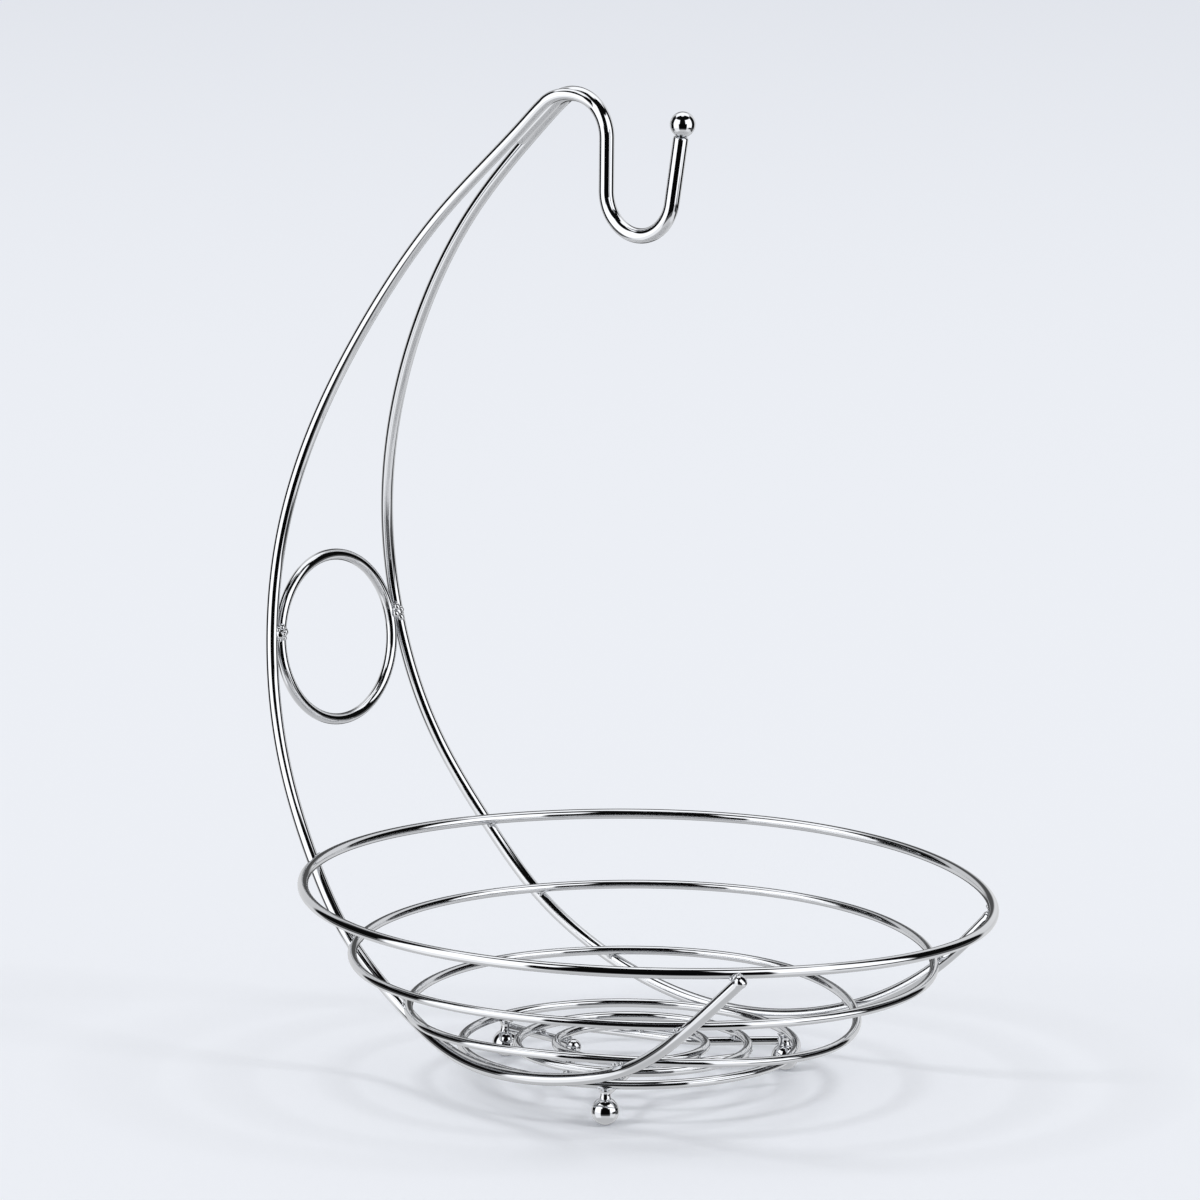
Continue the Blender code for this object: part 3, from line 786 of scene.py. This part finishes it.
camera_data = bpy.data.cameras.new("camera")
camera_data.sensor_width = SENSOR_MM
camera_data.lens = FOCAL_PIXELS * SENSOR_MM / PHOTO_PIXELS
camera_data.shift_x = -FRAME_OFFSET_PIXELS[0] / PHOTO_PIXELS
camera_data.shift_y = FRAME_OFFSET_PIXELS[1] / PHOTO_PIXELS
camera_data.clip_end = 100.0
camera = bpy.data.objects.new("camera", camera_data)
bpy.context.scene.collection.objects.link(camera)
back_axis = CAMERA_RIGHT.cross(CAMERA_UP)
turn_matrix = Matrix((CAMERA_RIGHT, CAMERA_UP, back_axis)).transposed().to_4x4()
camera.matrix_world = Matrix.Translation(CAMERA_PLACE + Vector(shift)) @ turn_matrix
bpy.context.scene.camera = camera

# ---- Stage: a wide pale floor, a dome for the reflections, and the light ----

CAMERA_TURN = math.atan2(CAMERA_PLACE.y, CAMERA_PLACE.x)

# The floor's colour at the feet, what it fades to far away, and from where to where: painted shade, a falloff
# of light away from the object.
FLOOR_NEAR_PAINTED_LIGHT = (0.860, 0.884, 0.935, 1.0)
FLOOR_FAR = (0.768, 0.792, 0.847, 1.0)
FLOOR_PAINTED_FALLOFF = (0.6, 7.5)
FLOOR_HALF = 14.0


def floor_material():
    """Pale card with painted shade: a little darker far from the object, where less light falls."""
    material = bpy.data.materials.new("pale_floor")
    material.use_nodes = True
    nodes, links = material.node_tree.nodes, material.node_tree.links
    shader = nodes["Principled BSDF"]
    shader.inputs["Roughness"].default_value = 0.85
    shader.inputs["Specular IOR Level"].default_value = 0.0
    place = nodes.new("ShaderNodeTexCoord")
    far = nodes.new("ShaderNodeVectorMath")
    far.operation = "LENGTH"
    links.new(place.outputs["Object"], far.inputs[0])
    # Painted shade: the floor's colour darkens with distance from the object.
    painted_falloff = nodes.new("ShaderNodeMapRange")
    painted_falloff.interpolation_type = "SMOOTHSTEP"
    painted_falloff.inputs["From Min"].default_value = FLOOR_PAINTED_FALLOFF[0]
    painted_falloff.inputs["From Max"].default_value = FLOOR_PAINTED_FALLOFF[1]
    links.new(far.outputs["Value"], painted_falloff.inputs["Value"])
    tone = nodes.new("ShaderNodeMix")
    tone.data_type = "RGBA"
    tone.inputs["A"].default_value = FLOOR_NEAR_PAINTED_LIGHT
    tone.inputs["B"].default_value = FLOOR_FAR
    links.new(painted_falloff.outputs["Result"], tone.inputs["Factor"])
    links.new(tone.outputs["Result"], shader.inputs["Base Color"])
    return material


corners = [(-1, -1), (1, -1), (1, 1), (-1, 1)]
floor = make_object(
    "floor",
    [(FLOOR_HALF * across, FLOOR_HALF * along, 0.0) for across, along in corners],
    [(0, 1, 2, 3)],
    floor_material(),
)
floor.visible_glossy = False

# What the chrome reflects: a pale room with two large soft boxes, dark gaps beside them and a dark
# middle, painted on a dome that only mirrored rays see.
# Each panel is (from, to) in azimuth seen from the middle of the dome, 0 towards the camera's place
# and + to its right; (from, to) in elevation; the softness of the edges, all in degrees; and the
# brightness. A later panel covers an earlier one.
DOME_RADIUS = 1.1
DOME_HEIGHT = 0.15
DOME_ROWS = 48
DOME_SEGMENTS = 96
DOME_TINT = (0.985, 0.99, 1.0, 1.0)
ROOM_BRIGHTNESS = 0.80
PANELS = (
    ((-180, 180), (-90, -50), 8, 0.70),
    ((-140, 140), (-38, -10), 6, 0.92),
    ((-180, -124), (0, 52), 5, 0.80),
    ((126, 180), (0, 52), 5, 0.92),
    ((-180, 180), (52, 90), 3, 1.50),
    ((-180, -165), (-45, 44), 5, 0.10),
    ((167, 180), (-45, 44), 5, 0.10),
    ((-129, -92), (-28, -13), 3, 0.10),
    ((91, 133), (-28, -13), 3, 0.10),
    ((-130, 131), (-13, 54), 2.5, 0.005),
    ((-142, -124), (29, 50), 4, 0.06),
    ((-100, 104), (50, 83), 2.5, 0.005),
    ((-89, -28), (-14, 51), 2.5, 1.65),
    ((26, 89), (-12, 51), 2.5, 1.65),
    ((-89, -35), (-46, -13), 3, 1.25),
    ((40, 90), (-46, -20), 3, 1.05),
    ((58, 93), (-23, -9), 2, 0.04),
    ((-36, 39), (-34, -22), 3, 0.12),
    ((-36, 39), (-24, 20), 1.5, 0.003),
)


def panorama(tree):
    """The brightness of the dome as a socket: the room with the panels laid over it one by one."""
    nodes, links = tree.nodes, tree.links
    place = nodes.new("ShaderNodeTexCoord")
    direction = nodes.new("ShaderNodeVectorMath")
    direction.operation = "NORMALIZE"
    links.new(place.outputs["Object"], direction.inputs[0])
    spin = nodes.new("ShaderNodeVectorRotate")
    spin.rotation_type = "Z_AXIS"
    spin.inputs["Angle"].default_value = -CAMERA_TURN
    links.new(direction.outputs["Vector"], spin.inputs["Vector"])
    parts = nodes.new("ShaderNodeSeparateXYZ")
    links.new(spin.outputs["Vector"], parts.inputs["Vector"])

    def maths(operation, *values):
        node = nodes.new("ShaderNodeMath")
        node.operation = operation
        for socket, value in zip(node.inputs, values):
            if isinstance(value, (int, float)):
                socket.default_value = value
            else:
                links.new(value, socket)
        return node.outputs[0]

    azimuth = maths("ARCTAN2", parts.outputs["Y"], parts.outputs["X"])
    elevation = maths("ARCSINE", parts.outputs["Z"])

    def step(value, edge, soft, rising):
        node = nodes.new("ShaderNodeMapRange")
        node.interpolation_type = "SMOOTHSTEP"
        node.inputs["From Min"].default_value = math.radians(edge - soft)
        node.inputs["From Max"].default_value = math.radians(edge + soft)
        node.inputs["To Min"].default_value = 0.0 if rising else 1.0
        node.inputs["To Max"].default_value = 1.0 if rising else 0.0
        links.new(value, node.inputs["Value"])
        return node.outputs["Result"]

    level = ROOM_BRIGHTNESS
    for (left, right), (low, high), soft, brightness in PANELS:
        mask = 1.0
        if left > -180:
            mask = maths("MULTIPLY", mask, step(azimuth, left, soft, True))
        if right < 180:
            mask = maths("MULTIPLY", mask, step(azimuth, right, soft, False))
        if low > -90:
            mask = maths("MULTIPLY", mask, step(elevation, low, soft, True))
        if high < 90:
            mask = maths("MULTIPLY", mask, step(elevation, high, soft, False))
        rest = maths("MULTIPLY", level, maths("SUBTRACT", 1.0, mask))
        level = maths("ADD", rest, maths("MULTIPLY", mask, brightness))
    return level


def dome_material():
    material = bpy.data.materials.new("studio_panorama")
    material.use_nodes = True
    tree = material.node_tree
    tree.nodes.clear()
    glow = tree.nodes.new("ShaderNodeEmission")
    glow.inputs["Color"].default_value = DOME_TINT
    tree.links.new(panorama(tree), glow.inputs["Strength"])
    output = tree.nodes.new("ShaderNodeOutputMaterial")
    tree.links.new(glow.outputs["Emission"], output.inputs["Surface"])
    material.cycles.emission_sampling = "NONE"
    return material


dome_turns = np.linspace(math.pi, 0, DOME_ROWS + 1)
dome_outline = [(DOME_RADIUS * math.sin(turn), DOME_RADIUS * math.cos(turn)) for turn in dome_turns]
dome = turned("studio_dome", dome_outline, np.zeros(3), DOME_SEGMENTS, dome_material())
dome.location = Vector(shift) + Vector((0.0, 0.0, DOME_HEIGHT))
dome.visible_camera = False
dome.visible_diffuse = False
dome.visible_transmission = False
dome.visible_volume_scatter = False
dome.visible_shadow = False

ROOM_LIGHT = 0.70

world = bpy.data.worlds.new("studio")
bpy.context.scene.world = world
world.use_nodes = True
tree = world.node_tree
tree.nodes.clear()
light_path = tree.nodes.new("ShaderNodeLightPath")
room = tree.nodes.new("ShaderNodeBackground")
room.inputs["Color"].default_value = (1.0, 1.0, 1.0, 1.0)
room.inputs["Strength"].default_value = ROOM_LIGHT
seen = tree.nodes.new("ShaderNodeBackground")
seen.inputs["Color"].default_value = FLOOR_FAR
choice = tree.nodes.new("ShaderNodeMixShader")
output = tree.nodes.new("ShaderNodeOutputWorld")
tree.links.new(light_path.outputs["Is Camera Ray"], choice.inputs["Fac"])
tree.links.new(room.outputs[0], choice.inputs[1])
tree.links.new(seen.outputs[0], choice.inputs[2])
tree.links.new(choice.outputs[0], output.inputs["Surface"])


def soft_light(name, azimuth_deg, elevation_deg, spread_deg, share):
    """A far, wide lamp. It gives the floor this share of full light and a soft shadow."""
    data = bpy.data.lights.new(name, "SUN")
    data.angle = math.radians(spread_deg)
    data.energy = share * math.pi / math.sin(math.radians(elevation_deg))
    lamp = bpy.data.objects.new(name, data)
    bpy.context.scene.collection.objects.link(lamp)
    azimuth = CAMERA_TURN + math.radians(azimuth_deg)
    elevation = math.radians(elevation_deg)
    level = math.cos(elevation)
    direction = Vector((level * math.cos(azimuth), level * math.sin(azimuth), math.sin(elevation)))
    lamp.rotation_euler = direction.to_track_quat("Z", "Y").to_euler()
    lamp.visible_glossy = False


soft_light("soft_light_left", azimuth_deg=-75, elevation_deg=48, spread_deg=16, share=0.15)
soft_light("soft_light_right", azimuth_deg=80, elevation_deg=46, spread_deg=16, share=0.13)

bpy.context.scene.view_settings.view_transform = "Standard"
